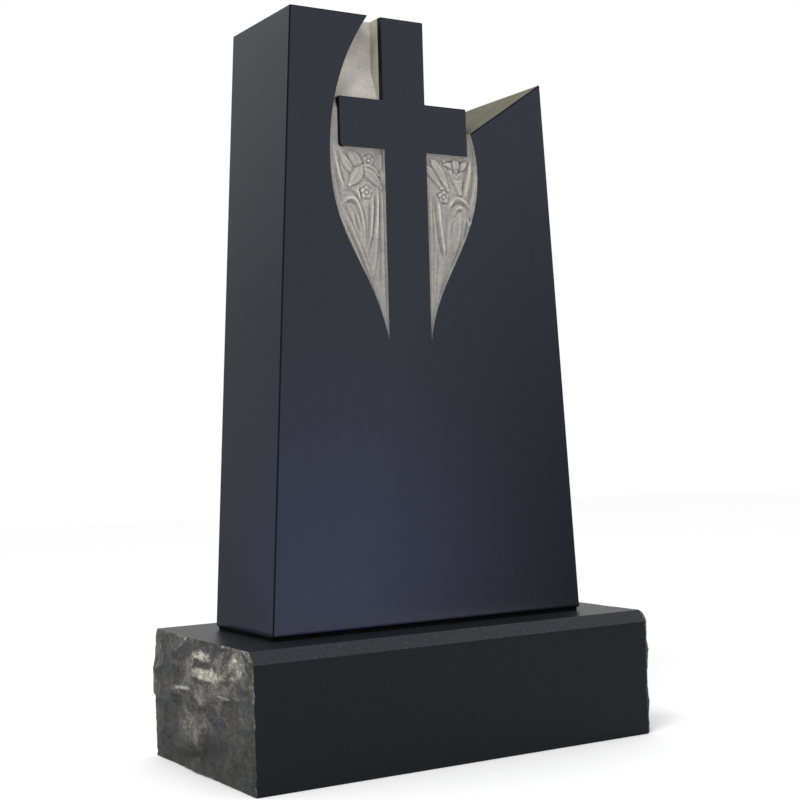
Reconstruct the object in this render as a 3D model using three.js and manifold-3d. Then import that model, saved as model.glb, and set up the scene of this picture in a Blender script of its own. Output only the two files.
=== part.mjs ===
import * as THREE from "three";
import { mergeVertices } from "three/addons/utils/BufferGeometryUtils.js";
import Module from "manifold-3d";

// A granite headstone in millimetres: X runs to the viewer's right, the polished face looks
// along -Y, Z is up, and the origin is the middle of the base's underside.

// Base
const baseWidth = 719; // between the arrises of its rock-pitched ends
const baseDepth = 366;
const baseHeight = 203.4;
const washDepth = 14.8; // chamfer along the front top edge
const washHeight = 18.1;
const rockReach = 20; // furthest that a pitched end stands out past its arrises
const rockColumns = 20; // facets across an end
const rockRows = 11; // facets up an end below the wash
const washRows = 2; // and beside it
const scallopSize = 46; // spacing of the chisel scallops
const scallopDepth = 7;
const arrisRise = 9; // distance from an arris over which the rock face comes up

// Setting bed, the dark joint under the tablet
const bedThickness = 5.4;
const bedInset = 3;

// Tablet
const footWidth = 575;
const topWidth = 464;
const tabletHeight = 955.3;
const tabletThickness = 203.2;

// Cross, flush with the face. Heights are over the tablet's foot, widths from the cross's axis.
const crossAxis = -32.5; // left of the tablet's middle
const barWidth = 78;
const armSpan = 235.4;
const armFoot = 745.3;
const armTop = armFoot + barWidth;
const armCorner = 8; // rounded lower corner of the left arm

// Right shoulder, cut away down to a slope that rises to the tablet's right edge
const shoulderPeak = 879;
const shoulderSlope = 0.664;
const shoulderTwist = 38; // the cut comes down by this much less at the back of its foot

// Sunk panels beside the shaft: a leaf-shaped outline that narrows to a tip at the shaft
const leftPanel = { side: -1, reach: 136.5, widest: 733, tip: 449, crown: 373, pull: [31, 126, 139] };
const rightPanel = { side: 1, reach: 136.5, widest: 717, tip: 447, crown: 185, pull: [14, 102, 113] };
const tipWidth = 1;
const floorDepth = 12; // ground of the carving below the face
const tipDepth = 5; // the ground runs out towards the tip
const runOut = 120; // height over which it does
const leastDepth = 2; // the carving stays this far below the face
const pillow = 4.2; // soft height of the carving's plain parts over its ground
const plainDepth = floorDepth - pillow;
const plainMargin = 8; // uncarved strip under the arms
const strokeWidth = 3.6; // spread of a carved ridge or groove to either side
const panelColumns = 28;
const panelRows = 62;

// Plain pocket above the left arm: level with the panels beside the arm, then ramped down deeper
const pocketDepth = 35;
const rampFoot = 60; // start of the ramp over the arm's foot
const rampHeight = 70;
const stripHeight = 45; // ground beside the right arm's end, up past the foot of the shoulder
const lap = 2; // overlap between neighbouring cuts

const polished = { color: 0x2b2d37, roughness: 0.16, metalness: 0 };
const rockPolished = { color: 0x26282f, roughness: 0.2, metalness: 0 };
const compound = { color: 0x0c0c0d, roughness: 0.85, metalness: 0 };

const wasm = await Module();
wasm.setup();

const clamp = THREE.MathUtils.clamp;
const smooth = THREE.MathUtils.smoothstep;
const hill = (x, y, spreadX, spreadY) => Math.exp(-((x / spreadX) ** 2) - (y / spreadY) ** 2);

function solidOf(geometry) {
  const bare = new THREE.BufferGeometry().setAttribute("position", geometry.getAttribute("position"));
  bare.setIndex(geometry.index);
  const merged = mergeVertices(bare, 1e-4);
  const vertProperties = new Float32Array(merged.getAttribute("position").array);
  const triVerts = new Uint32Array(merged.index.array);
  return new wasm.Manifold(new wasm.Mesh({ numProp: 3, vertProperties, triVerts }));
}

function meshOf(name, solid, finish) {
  const { vertProperties, triVerts } = solid.getMesh();
  const geometry = new THREE.BufferGeometry();
  geometry.setAttribute("position", new THREE.BufferAttribute(vertProperties, 3));
  geometry.setIndex(new THREE.BufferAttribute(triVerts, 1));
  geometry.computeVertexNormals();
  const mesh = new THREE.Mesh(geometry, new THREE.MeshStandardMaterial(finish));
  mesh.name = name;
  return mesh;
}

// An outline in X and Z, extruded back along Y from a front plane.
function extrudeBack(outline, front, depth) {
  const geometry = new THREE.ExtrudeGeometry(outline, { depth, bevelEnabled: false, curveSegments: 24 });
  return geometry.rotateX(Math.PI / 2).translate(0, front + depth, 0);
}

const prismBack = (outline, front, depth) => solidOf(extrudeBack(outline, front, depth));

// A prism of an outline in Y and Z, running along X about the middle.
function prismAcross(outline, width) {
  const geometry = new THREE.ExtrudeGeometry(outline, { depth: width, bevelEnabled: false });
  const turn = new THREE.Matrix4().makeBasis(
    new THREE.Vector3(0, 1, 0),
    new THREE.Vector3(0, 0, 1),
    new THREE.Vector3(1, 0, 0),
  );
  return solidOf(geometry.applyMatrix4(turn).translate(-width / 2, 0, 0));
}

function outlineOf(points) {
  return new THREE.Shape(points.map(([a, b]) => new THREE.Vector2(a, b)));
}

// A closed body between two sheets of points on the same grid of columns and rows.
function bodyBetween(lower, upper, columns, rows) {
  const sheet = (columns + 1) * (rows + 1);
  const at = (column, row, layer) => layer * sheet + row * (columns + 1) + column;
  const index = [];
  const quad = (a, b, c, d) => index.push(a, b, c, a, c, d);
  for (let row = 0; row < rows; row++) {
    for (let column = 0; column < columns; column++) {
      quad(at(column, row, 1), at(column + 1, row, 1), at(column + 1, row + 1, 1), at(column, row + 1, 1));
      quad(at(column, row, 0), at(column, row + 1, 0), at(column + 1, row + 1, 0), at(column + 1, row, 0));
    }
  }
  for (let column = 0; column < columns; column++) {
    quad(at(column, 0, 0), at(column + 1, 0, 0), at(column + 1, 0, 1), at(column, 0, 1));
    quad(at(column + 1, rows, 0), at(column, rows, 0), at(column, rows, 1), at(column + 1, rows, 1));
  }
  for (let row = 0; row < rows; row++) {
    quad(at(0, row + 1, 0), at(0, row, 0), at(0, row, 1), at(0, row + 1, 1));
    quad(at(columns, row, 0), at(columns, row + 1, 0), at(columns, row + 1, 1), at(columns, row, 1));
  }
  const geometry = new THREE.BufferGeometry();
  geometry.setAttribute("position", new THREE.Float32BufferAttribute([...lower, ...upper].flat(), 3));
  geometry.setIndex(index);
  const body = solidOf(geometry);
  if (body.volume() > 0) return body;
  geometry.setIndex(index.toReversed());
  return solidOf(geometry);
}

// Base: rock-pitched ends

// Chisel scallops: bowls about jittered centres, with sharp ridges where they meet.
function scallops(y, z, seed) {
  const jitter = (a, b) => {
    const wave = Math.sin(a * 127.1 + b * 311.7 + seed * 74.7) * 43758.5453;
    return wave - Math.floor(wave);
  };
  const column = Math.floor(y / scallopSize);
  const row = Math.floor(z / scallopSize);
  let nearest = Infinity;
  for (let a = column - 1; a <= column + 1; a++) {
    for (let b = row - 1; b <= row + 1; b++) {
      const away = Math.hypot(a + jitter(a, b) - y / scallopSize, b + jitter(b + 57, a) - z / scallopSize);
      nearest = Math.min(nearest, away);
    }
  }
  return nearest ** 2 - 0.3;
}

// Courses of the left end's shelf crest and lip and of the valley under its boss, as heights at depths.
const crestCourse = [[-140, 162], [-15, 154], [30, 135], [120, 114]];
const lipCourse = [[-148, 143], [-93, 141], [-54, 129], [-20, 107], [7, 128], [54, 125], [112, 106]];
const valleyCourse = [[-98, 56], [-8, 36], [32, 26], [122, 14]];

function heightAlong(course, y) {
  const next = course.findIndex(([at]) => at > y);
  if (next === 0) return course[0][1];
  if (next < 0) return course.at(-1)[1];
  const [[fromY, fromZ], [toY, toZ]] = course.slice(next - 1, next + 1);
  return THREE.MathUtils.mapLinear(y, fromY, toY, fromZ, toZ);
}

// The broken shape of the left end: a shelf down to a ragged lip, and a boss over a valley below it.
function shelvedRock(y, z) {
  const lip = heightAlong(lipCourse, y);
  const jut = 8 + 9 * smooth(y, -150, -80) - 4 * smooth(y, 80, 170);
  const shelf = jut * clamp((baseHeight - z) / (baseHeight - heightAlong(crestCourse, y)), 0, 1) ** 0.9;
  const valley = 6 * hill(0, z - heightAlong(valleyCourse, y), 1, 10) * smooth(y, -120, -70);
  const belly = 6 + 10 * hill(y - 14, z - 66, 46, 26) - valley;
  return THREE.MathUtils.lerp(belly, shelf, smooth(z, lip - 14, lip));
}

const plainRock = () => 11;

const washAt = (z) => (washDepth * clamp(z - baseHeight + washHeight, 0, washHeight)) / washHeight;

// One end's points. The rock starts at the arris and is scaled to come out by rockReach at most.
function rockEnd(side, form, seed) {
  const points = [];
  for (let row = -rockRows; row <= washRows; row++) {
    const step = row < 0 ? (baseHeight - washHeight) / rockRows : washHeight / washRows;
    const z = baseHeight - washHeight + row * step;
    const front = -baseDepth / 2 + washAt(z);
    for (let column = 0; column <= rockColumns; column++) {
      const y = THREE.MathUtils.lerp(front, baseDepth / 2, column / rockColumns);
      const edge = Math.max(0, Math.min(y - front, baseDepth / 2 - y, z, baseHeight - z));
      const rock = form(y, z) + scallopDepth * scallops(y * 0.7, z, seed);
      points.push([Math.max(0, rock) * (1 - Math.exp(-edge / arrisRise)), y, z]);
    }
  }
  const scale = rockReach / Math.max(...points.map(([out]) => out));
  return points.map(([out, y, z]) => [side * (baseWidth / 2 + out * scale), y, z]);
}

function makeBase() {
  const left = rockEnd(-1, shelvedRock, 3);
  const right = rockEnd(1, plainRock, 8);
  return meshOf("base", bodyBetween(left, right, rockColumns, rockRows + washRows), rockPolished);
}

// Setting bed

function makeSettingBed() {
  const width = footWidth - 2 * bedInset;
  const depth = tabletThickness - 2 * bedInset;
  const bed = solidOf(new THREE.BoxGeometry(width, depth, bedThickness).translate(0, 0, bedThickness / 2));
  return meshOf("setting_bed", bed, compound);
}

// Tablet: carving

const point = ([across, up]) => new THREE.Vector2(across, up);

// A stroke of the carving along a bent line: a soft ridge or a groove.
function stroke(from, via, to, rise) {
  const line = new THREE.QuadraticBezierCurve(point(from), point(via), point(to)).getPoints(9);
  return { line, rise };
}

// A petal, widest in its middle, that lies over the strokes.
function petal(from, via, to, halfWidth, rise) {
  return { ...stroke(from, via, to, rise), halfWidth };
}

// A round bud.
function bud([across, up], radius, rise) {
  return { ...petal([across, up], [across, up], [across + 0.5, up], radius, rise), even: true };
}

leftPanel.ridges = [
  stroke([-127, 752], [-122, 712], [-108, 677], 3),
  stroke([-114, 657], [-78, 693], [-73, 600], 4.5),
  stroke([-120, 642], [-84, 580], [-39, 450], 4.5),
  stroke([-104, 636], [-74, 580], [-42, 474], 3.8),
  stroke([-49, 696], [-49, 610], [-61, 546], 4),
  stroke([-96, 646], [-94, 632], [-88, 610], 2.8),
  stroke([-59, 676], [-58, 640], [-64, 598], 2.8),
  stroke([-43, 742], [-42, 730], [-42, 716], 2.6),
];
leftPanel.grooves = [
  stroke([-107, 660], [-84, 670], [-78, 622], 4.5),
  stroke([-110, 677], [-75, 690], [-69, 598], 3.5),
  stroke([-53, 674], [-53, 630], [-67, 578], 4.5),
  stroke([-45, 674], [-44, 610], [-46, 530], 3),
  stroke([-110, 630], [-77, 576], [-40, 464], 5),
  stroke([-97, 628], [-73, 586], [-48, 504], 4),
  stroke([-124, 718], [-121, 690], [-112, 656], 3),
];
leftPanel.petals = [
  bud([-69, 677], 8.5, 2.2),
  bud([-64, 727], 8.5, 2.4),
  petal([-84, 706], [-102, 714], [-114, 738], 8, 2.4),
  petal([-77, 716], [-60, 718], [-46, 705], 7, 2.2),
  petal([-79, 711], [-87, 730], [-103, 747], 10, 2.8),
  petal([-77, 712], [-58, 708], [-42, 684], 9, 2.9),
  petal([-77, 717], [-84, 703], [-99, 687], 11, 3.2),
];

rightPanel.ridges = [
  stroke([127, 750], [128, 706], [111, 674], 4),
  stroke([85, 658], [96, 694], [123, 666], 4.2),
  stroke([90, 638], [108, 694], [127, 620], 4.8),
  stroke([65, 674], [66, 635], [76, 578], 4),
  stroke([50, 694], [50, 600], [45, 475], 2.8),
  stroke([126, 630], [96, 575], [45, 460], 2.8),
  stroke([82, 604], [66, 550], [50, 488], 2.2),
  stroke([109, 649], [113, 632], [104, 604], 2.8),
];
rightPanel.grooves = [
  stroke([122, 742], [123, 710], [106, 687], 4.2),
  stroke([87, 660], [106, 682], [125, 658], 4),
  stroke([90, 640], [107, 678], [122, 640], 4.8),
  stroke([59, 678], [59, 635], [72, 576], 4.8),
  stroke([80, 646], [80, 610], [76, 576], 3.2),
  stroke([113, 616], [90, 570], [50, 474], 2.8),
  stroke([63, 590], [58, 540], [51, 492], 2.2),
];
rightPanel.petals = [
  petal([48, 746], [58, 744], [66, 729], 6, 2.6),
  petal([40, 726], [54, 718], [71, 692], 7.5, 2.8),
  petal([52, 738], [68, 724], [84, 690], 8.5, 3.2),
  petal([107, 684], [103, 704], [99, 730], 13, 3.4),
  petal([96, 722], [90, 734], [78, 731], 5.5, 3.6),
  petal([105, 722], [113, 732], [121, 739], 6, 3.4),
  petal([100, 718], [98, 734], [99, 748], 8, 4),
  bud([75, 678], 8.5, 2.3),
];

// Distance of a point from a bent line and the share along it.
function nearest(line, here) {
  let found = { away: Infinity, along: 0 };
  for (let step = 0; step < line.length - 1; step++) {
    const span = line[step + 1].clone().sub(line[step]);
    const share = clamp(here.clone().sub(line[step]).dot(span) / span.lengthSq(), 0, 1);
    const away = span.multiplyScalar(share).add(line[step]).distanceTo(here);
    if (away < found.away) found = { away, along: (step + share) / (line.length - 1) };
  }
  return found;
}

// How far the carving stands above its ground: a soft pillow, strokes on it and petals over them.
function carvedRise({ ridges, grooves, petals }, across, up) {
  const here = point([across, up]);
  const height = ({ line, rise }) => rise * Math.exp(-((nearest(line, here).away / strokeWidth) ** 2));
  let rise = Math.max(...ridges.map(height)) - Math.max(...grooves.map(height));
  for (const { line, halfWidth, rise: crest, even } of petals) {
    const { away, along } = nearest(line, here);
    const share = away / (halfWidth * (even ? 1 : Math.sqrt(Math.max(0.12, Math.sin(Math.PI * along)))));
    if (share < 1) rise = crest * Math.sqrt(1 - share ** 2);
  }
  return pillow + rise * smooth(armFoot - up, 0, plainMargin);
}

// The panel's outer edge from its tip up to a height, the leaf's belly and then its crown.
function panelEdge({ side, reach, widest, tip, crown, pull: [tipIn, tipUp, belly] }, top) {
  const shaft = barWidth / 2;
  const path = new THREE.Path();
  path.moveTo(side * (shaft + tipWidth), tip);
  path.bezierCurveTo(
    side * (shaft + tipIn),
    tip + tipUp,
    side * reach,
    widest - belly,
    side * reach,
    widest,
  );
  const rise = Math.asin((top - widest) / crown);
  const start = side > 0 ? 0 : Math.PI;
  path.absarc(side * (reach - crown), widest, crown, start, start + side * rise, side < 0);
  return path;
}

// Everything that is cut out of the face to leave one carved panel.
function panelCut(panel) {
  const edge = panelEdge(panel, armFoot).getSpacedPoints(panelRows);
  const front = [];
  const back = [];
  for (const { x: outer, y: up } of edge) {
    const ground = THREE.MathUtils.lerp(tipDepth, floorDepth, smooth(up, panel.tip, panel.tip + runOut));
    for (let column = 0; column <= panelColumns; column++) {
      const across = THREE.MathUtils.lerp((panel.side * barWidth) / 2, outer, column / panelColumns);
      const rise = (carvedRise(panel, across, up) * ground) / floorDepth;
      front.push([across, -lap, up]);
      back.push([across, Math.max(leastDepth, ground - rise), up]);
    }
  }
  return bodyBetween(front, back, panelColumns, panelRows);
}

// The plain pocket between the left arm, the shaft and the crown of the left panel's outline.
function pocketCut() {
  const over = tabletHeight + lap;
  const arm = armSpan / 2;
  const crown = panelEdge(leftPanel, over).getPoints(24);
  const outline = new THREE.Shape(crown.filter(({ y }) => y > armFoot - lap));
  outline.lineTo(-barWidth / 2, over);
  outline.lineTo(-barWidth / 2, armTop);
  outline.lineTo(-arm, armTop);
  outline.lineTo(-arm, armFoot + armCorner);
  outline.quadraticCurveTo(-arm, armFoot, armCorner - arm, armFoot);
  outline.lineTo(armCorner - arm, armFoot - lap);
  const depths = outlineOf([
    [-lap, armFoot - 2 * lap],
    [plainDepth, armFoot - 2 * lap],
    [plainDepth, armFoot + rampFoot],
    [pocketDepth, armFoot + rampFoot + rampHeight],
    [pocketDepth, over],
    [-lap, over],
  ]);
  return prismBack(outline, -lap, pocketDepth + 2 * lap).intersect(prismAcross(depths, footWidth));
}

// The strip of plain ground between the right arm's end and the edge of the right panel.
function stripCut() {
  const top = armFoot + stripHeight;
  const edge = panelEdge(rightPanel, top).getPoints(24);
  const outline = new THREE.Shape(edge.filter(({ y }) => y > armFoot - lap));
  outline.lineTo(armSpan / 2, top);
  outline.lineTo(armSpan / 2, armFoot - lap);
  return prismBack(outline, -lap, plainDepth + lap);
}

function slab() {
  const taper = (footWidth - topWidth) / 2 / tabletHeight;
  const peakX = footWidth / 2 - taper * shoulderPeak;
  const armEnd = crossAxis + armSpan / 2;
  const shaftRight = crossAxis + barWidth / 2;
  const shoulderFoot = shoulderPeak - shoulderSlope * (peakX - armEnd);
  const outline = outlineOf([
    [-footWidth / 2, 0],
    [footWidth / 2, 0],
    [peakX, shoulderPeak],
    [armEnd, shoulderFoot],
    [armEnd, armTop],
    [shaftRight, armTop],
    [shaftRight, tabletHeight],
    [-topWidth / 2, tabletHeight],
  ]);
  const geometry = extrudeBack(outline, 0, tabletThickness);
  const places = geometry.getAttribute("position");
  for (let at = 0; at < places.count; at++) {
    const atFoot = Math.hypot(places.getX(at) - armEnd, places.getZ(at) - shoulderFoot) < 1;
    if (atFoot && places.getY(at) > tabletThickness / 2) places.setZ(at, shoulderFoot + shoulderTwist);
  }
  return solidOf(geometry);
}

function makeTablet() {
  const cuts = [panelCut(leftPanel), panelCut(rightPanel), pocketCut(), stripCut()];
  const cut = cuts.reduce((all, next) => all.add(next)).translate(crossAxis, 0, 0);
  return meshOf("tablet", slab().subtract(cut), polished);
}

const headstone = new THREE.Group();
headstone.add(makeBase());
const settingBed = makeSettingBed();
settingBed.position.z = baseHeight;
headstone.add(settingBed);
const tablet = makeTablet();
tablet.position.set(0, -tabletThickness / 2, baseHeight + bedThickness);
headstone.add(tablet);

export default headstone;
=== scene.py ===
import math

import bpy
import numpy as np
from mathutils import Matrix, Vector, noise


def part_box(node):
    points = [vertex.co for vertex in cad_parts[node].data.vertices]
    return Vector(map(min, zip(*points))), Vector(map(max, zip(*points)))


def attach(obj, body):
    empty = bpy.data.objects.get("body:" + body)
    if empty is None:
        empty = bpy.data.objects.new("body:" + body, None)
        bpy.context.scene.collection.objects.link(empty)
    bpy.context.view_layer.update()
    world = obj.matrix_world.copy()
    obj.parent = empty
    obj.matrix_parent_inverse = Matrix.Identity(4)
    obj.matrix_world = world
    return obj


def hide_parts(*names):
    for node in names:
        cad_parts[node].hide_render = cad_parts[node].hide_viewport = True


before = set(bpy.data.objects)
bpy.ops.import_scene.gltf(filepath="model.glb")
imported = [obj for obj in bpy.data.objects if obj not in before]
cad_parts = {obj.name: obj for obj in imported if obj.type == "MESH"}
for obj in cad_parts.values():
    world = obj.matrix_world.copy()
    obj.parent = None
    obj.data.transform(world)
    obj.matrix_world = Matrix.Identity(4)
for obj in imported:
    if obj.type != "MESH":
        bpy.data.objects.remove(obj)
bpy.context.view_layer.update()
mm = 0.001
print("frame loaded")


# small helpers


def hexColour(code):
    parts = [int(code[at : at + 2], 16) / 255 for at in (1, 3, 5)]
    return [c / 12.92 if c <= 0.04045 else ((c + 0.055) / 1.055) ** 2.4 for c in parts] + [1.0]


def smooth(value, low, high):
    share = np.clip((value - low) / (high - low), 0, 1)
    return share * share * (3 - 2 * share)


def hill(x, y, spreadX, spreadY):
    return np.exp(-((x / spreadX) ** 2) - (y / spreadY) ** 2)


def startClean():
    if bpy.context.object and bpy.context.object.mode != "OBJECT":
        bpy.ops.object.mode_set(mode="OBJECT")
    bpy.ops.object.select_all(action="DESELECT")


def makeActive(piece):
    startClean()
    piece.select_set(True)
    bpy.context.view_layer.objects.active = piece


def pointsOf(piece):
    flat = np.empty(len(piece.data.vertices) * 3)
    piece.data.vertices.foreach_get("co", flat)
    return flat.reshape(-1, 3)


def movePoints(piece, points):
    piece.data.vertices.foreach_set("co", np.asarray(points, float).ravel())
    piece.data.update()


def addAttribute(piece, name, values):
    layer = piece.data.attributes.new(name, "FLOAT", "POINT")
    layer.data.foreach_set("value", np.asarray(values, float).ravel())


# all faces of the active piece, pulled out by one step
def extrudeAll(step):
    bpy.ops.object.mode_set(mode="EDIT")
    bpy.ops.mesh.select_all(action="SELECT")
    bpy.ops.mesh.extrude_region_move(TRANSFORM_OT_translate={"value": step})
    bpy.ops.object.mode_set(mode="OBJECT")


def faceOutward(piece):
    makeActive(piece)
    bpy.ops.object.mode_set(mode="EDIT")
    bpy.ops.mesh.select_all(action="SELECT")
    bpy.ops.mesh.normals_make_consistent(inside=False)
    bpy.ops.object.mode_set(mode="OBJECT")


# a prism of an outline: a filled circle pulled into the outline, then extruded
def addPrism(name, points, step):
    startClean()
    bpy.ops.mesh.primitive_circle_add(vertices=len(points), radius=1, fill_type="NGON")
    piece = bpy.context.object
    piece.name = name
    movePoints(piece, points)
    extrudeAll(step)
    faceOutward(piece)
    return piece


# a closed body from a flat grid and its copy above; its points are placed afterwards
def addSlabGrid(name, columns, rows):
    startClean()
    bpy.ops.mesh.primitive_grid_add(x_subdivisions=columns, y_subdivisions=rows, size=1)
    piece = bpy.context.object
    piece.name = name
    extrudeAll((0, 0, 1))
    return piece


def combine(piece, other, operation):
    makeActive(piece)
    step = piece.modifiers.new("combine", "BOOLEAN")
    step.operation = operation
    step.solver = "MANIFOLD"
    step.object = other
    bpy.ops.object.modifier_apply(modifier=step.name)
    bpy.data.objects.remove(other)


# only the faces of one finish are shaded smooth, so the polished flats stay flat
def shadeSoft(piece, number, degrees=38):
    makeActive(piece)
    bpy.ops.object.shade_smooth_by_angle(angle=math.radians(degrees))
    for face in piece.data.polygons:
        face.use_smooth = face.material_index == number


def giveFinishes(piece, *finishes):
    piece.data.materials.clear()
    for finish in finishes:
        piece.data.materials.append(finish)


def setFinish(piece, number):
    piece.data.polygons.foreach_set("material_index", [number] * len(piece.data.polygons))


def numberOf(finishes, name):
    return list(finishes).index(name)


# materials


def newMaterial(name):
    material = bpy.data.materials.new(name)
    material.use_nodes = True
    return material, material.node_tree.nodes["Principled BSDF"]


# values go straight into a node's sockets, and other nodes' outputs are linked to them
def setSockets(material, node, values):
    for name, value in values.items():
        if isinstance(value, bpy.types.NodeSocket):
            material.node_tree.links.new(value, node.inputs[name])
        else:
            node.inputs[name].default_value = value


# a node with its settings, links and colour stops, known afterwards by one of its outputs;
# a colour mix has its factor at socket 0, its two colours at 6 and 7 and its result at output 2
def addNode(material, kind, output, values=None, stops=(), **settings):
    node = material.node_tree.nodes.new(kind)
    for name, value in settings.items():
        setattr(node, name, value)
    setSockets(material, node, values or {})
    if stops:
        elements = node.color_ramp.elements
        while len(elements) < len(stops):
            elements.new(0.5)
        for element, (place, code) in zip(elements, stops):
            element.position = place
            element.color = hexColour(code)
    return node.outputs[output]


# the stone's crystals at a size in mm, each with its own value from 0 to 1, as tones
def crystals(material, place, size, *stops):
    cells = {"Vector": place, "Scale": 1 / (size * mm)}
    cells = addNode(material, "ShaderNodeTexVoronoi", "Color", cells)
    value = addNode(material, "ShaderNodeSeparateColor", "Red", {"Color": cells})
    return addNode(material, "ShaderNodeValToRGB", "Color", {"Fac": value}, stops) if stops else value


# clouds in the stone at a size in mm, as tones
def clouds(material, place, size, detail, *stops):
    cloud = {"Vector": place, "Scale": 1 / (size * mm), "Detail": detail}
    value = addNode(material, "ShaderNodeTexNoise", "Fac", cloud)
    return addNode(material, "ShaderNodeValToRGB", "Color", {"Fac": value}, stops) if stops else value


# near-black gabbro with a mirror polish: fine grey and a few bluish crystals under the gloss, and where given
# a painted sheen mixed into its colour
def polishedGranite(name, dark, middle, fleck, bend, roughness, sheen="#ffffff", paintedSheen=None):
    material, shader = newMaterial(name)
    place = addNode(material, "ShaderNodeTexCoord", "Object")
    ground = crystals(material, place, 1.7, (0.0, dark), (0.7, dark), (1.0, middle))
    rare = crystals(material, place, 2.6, (0.9, "#000000"), (0.97, "#ffffff"))
    mix = {0: rare, 6: ground, 7: hexColour(fleck)}
    colour = addNode(material, "ShaderNodeMix", 2, mix, data_type="RGBA")
    # painted sheen: a bluish reflection blended into the base colour round one spot
    if paintedSheen:
        spread = {"Vector": place, "Location": [-c / paintedSheen["reach"] for c in paintedSheen["place"]]}
        spread["Scale"] = [1 / paintedSheen["reach"]] * 3
        field = {"Vector": addNode(material, "ShaderNodeMapping", "Vector", spread)}
        field = addNode(material, "ShaderNodeTexGradient", "Fac", field, gradient_type="QUADRATIC_SPHERE")
        mix = {0: field, 6: colour, 7: hexColour(paintedSheen["colour"])}
        colour = addNode(material, "ShaderNodeMix", 2, mix, data_type="RGBA")
    values = {"Base Color": colour, "Roughness": roughness, "IOR": bend, "Specular Tint": hexColour(sheen)}
    setSockets(material, shader, values)
    return material


# the same stone dusted by the blast: pale, matt and finely speckled, with painted shade in its hollows and
# painted highlight on its ridges
def dustedGranite(name, *tones):
    material, shader = newMaterial(name)
    place = addNode(material, "ShaderNodeTexCoord", "Object")
    hollowShade = addNode(material, "ShaderNodeAttribute", "Fac", attribute_name="hollowShade")
    colour = addNode(material, "ShaderNodeValToRGB", "Color", {"Fac": hollowShade}, tones)
    speck = crystals(material, place, 1.2, (0.0, "#cfcdc8"), (0.5, "#ffffff"))
    cloud = clouds(material, place, 26, 3, (0.3, "#e2e1e4"), (0.7, "#fffdf7"))
    for share, layer in ((0.8, speck), (1.0, cloud)):
        mix = {0: share, 6: colour, 7: layer}
        colour = addNode(material, "ShaderNodeMix", 2, mix, data_type="RGBA", blend_type="MULTIPLY")
    grit = {"Height": crystals(material, place, 0.9), "Distance": 0.05 * mm, "Strength": 0.4}
    values = {"Base Color": colour, "Normal": addNode(material, "ShaderNodeBump", "Normal", grit)}
    setSockets(material, shader, {**values, "Roughness": 0.9, "Specular IOR Level": 0.25})
    return material


# stone broken with the pitching tool: dark olive grey, pale on its ridges and ledges from bruises and painted
# highlight, darker where shade is painted
def rockGranite(name):
    material, shader = newMaterial(name)
    place = addNode(material, "ShaderNodeTexCoord", "Object")
    drawnOut = {"Vector": place, "Scale": (1, 0.6, 1)}  # patches are longer along the base's depth
    place = addNode(material, "ShaderNodeMapping", "Vector", drawnOut)
    # the attribute read here is pale for bruises and painted highlight, dark for painted shade and darker
    # facets
    bruiseAndShade = {"Fac": addNode(material, "ShaderNodeAttribute", "Fac", attribute_name="bruiseAndShade")}
    shade = addNode(material, "ShaderNodeValToRGB", "Color", bruiseAndShade, ((0.0, "#8a8a8a"), (0.3, "#ffffff")))
    pale = addNode(material, "ShaderNodeValToRGB", "Color", bruiseAndShade, ((0.3, "#000000"), (0.85, "#ffffff")))
    patch = clouds(material, place, 30, 4, (0.35, "#3a3c40"), (0.65, "#4b4a44"))
    clot = clouds(material, place, 8, 2, (0.38, "#b8b8ba"), (0.62, "#ffffff"))
    speck = crystals(material, place, 1.8, (0.0, "#9a9a9a"), (0.7, "#ffffff"))
    layers = ((1.0, shade, "MULTIPLY"), (pale, hexColour("#c2beb1"), "MIX"))
    layers += ((0.9, clot, "MULTIPLY"), (0.9, speck, "MULTIPLY"))
    colour = patch
    for share, layer, way in layers:
        mix = {0: share, 6: colour, 7: layer}
        colour = addNode(material, "ShaderNodeMix", 2, mix, data_type="RGBA", blend_type=way)
    grit = {"Height": clouds(material, place, 2.2, 4), "Distance": 0.8 * mm, "Strength": 0.8}
    values = {"Base Color": colour, "Normal": addNode(material, "ShaderNodeBump", "Normal", grit)}
    setSockets(material, shader, {**values, "Roughness": 0.75, "Specular IOR Level": 0.4})
    return material


# setting compound: black, dull and slightly rough
def settingCompound():
    material, shader = newMaterial("setting compound")
    place = addNode(material, "ShaderNodeTexCoord", "Object")
    colour = clouds(material, place, 6, 3, (0.3, "#050506"), (0.7, "#0a0a0b"))
    setSockets(material, shader, {"Base Color": colour, "Roughness": 0.85, "Specular IOR Level": 0.1})
    return material


# painted sheen: a bluish reflection mixed into the colour low on the left of the tablet's face, in metres
paintedSheenSpot = {"place": (-0.16, -0.25, 0.28), "reach": 0.48, "colour": "#20264a"}
tabletTones = ("#0f1119", "#12141d", "#161924")
tabletPolish = polishedGranite("polished gabbro", *tabletTones, 1.46, 0.08, "#e9efff", paintedSheenSpot)
arrisFinish = polishedGranite("eased arris", "#0a0b10", "#0c0d13", "#101118", 1.15, 0.3)
basePolish = polishedGranite("polished gabbro of the base", "#0c0e14", "#0f1118", "#14161f", 1.24, 0.08)
baseHoned = polishedGranite("honed gabbro of the base's top", "#1a1b1e", "#1f2023", "#26272b", 1.2, 0.4)
washFinish = polishedGranite("polished gabbro of the wash", "#222429", "#282a30", "#30333b", 1.3, 0.2)
# tones of the carving from ridge to hollow: painted highlight on the ridges, painted shade in the hollows
carvedShadeTones = ((0.0, "#d8d5d1"), (0.1, "#b7b4b0"), (0.45, "#9c9b98"), (1.0, "#82817e"))
carvedFinish = dustedGranite("dusted gabbro", *carvedShadeTones)
# painted shade: a darker olive copy of the dusted stone for the cut shoulder
shoulderShadeFinish = dustedGranite("dusted gabbro of the shoulder", (0.0, "#6b6a5c"), (1.0, "#58564e"))
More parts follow.
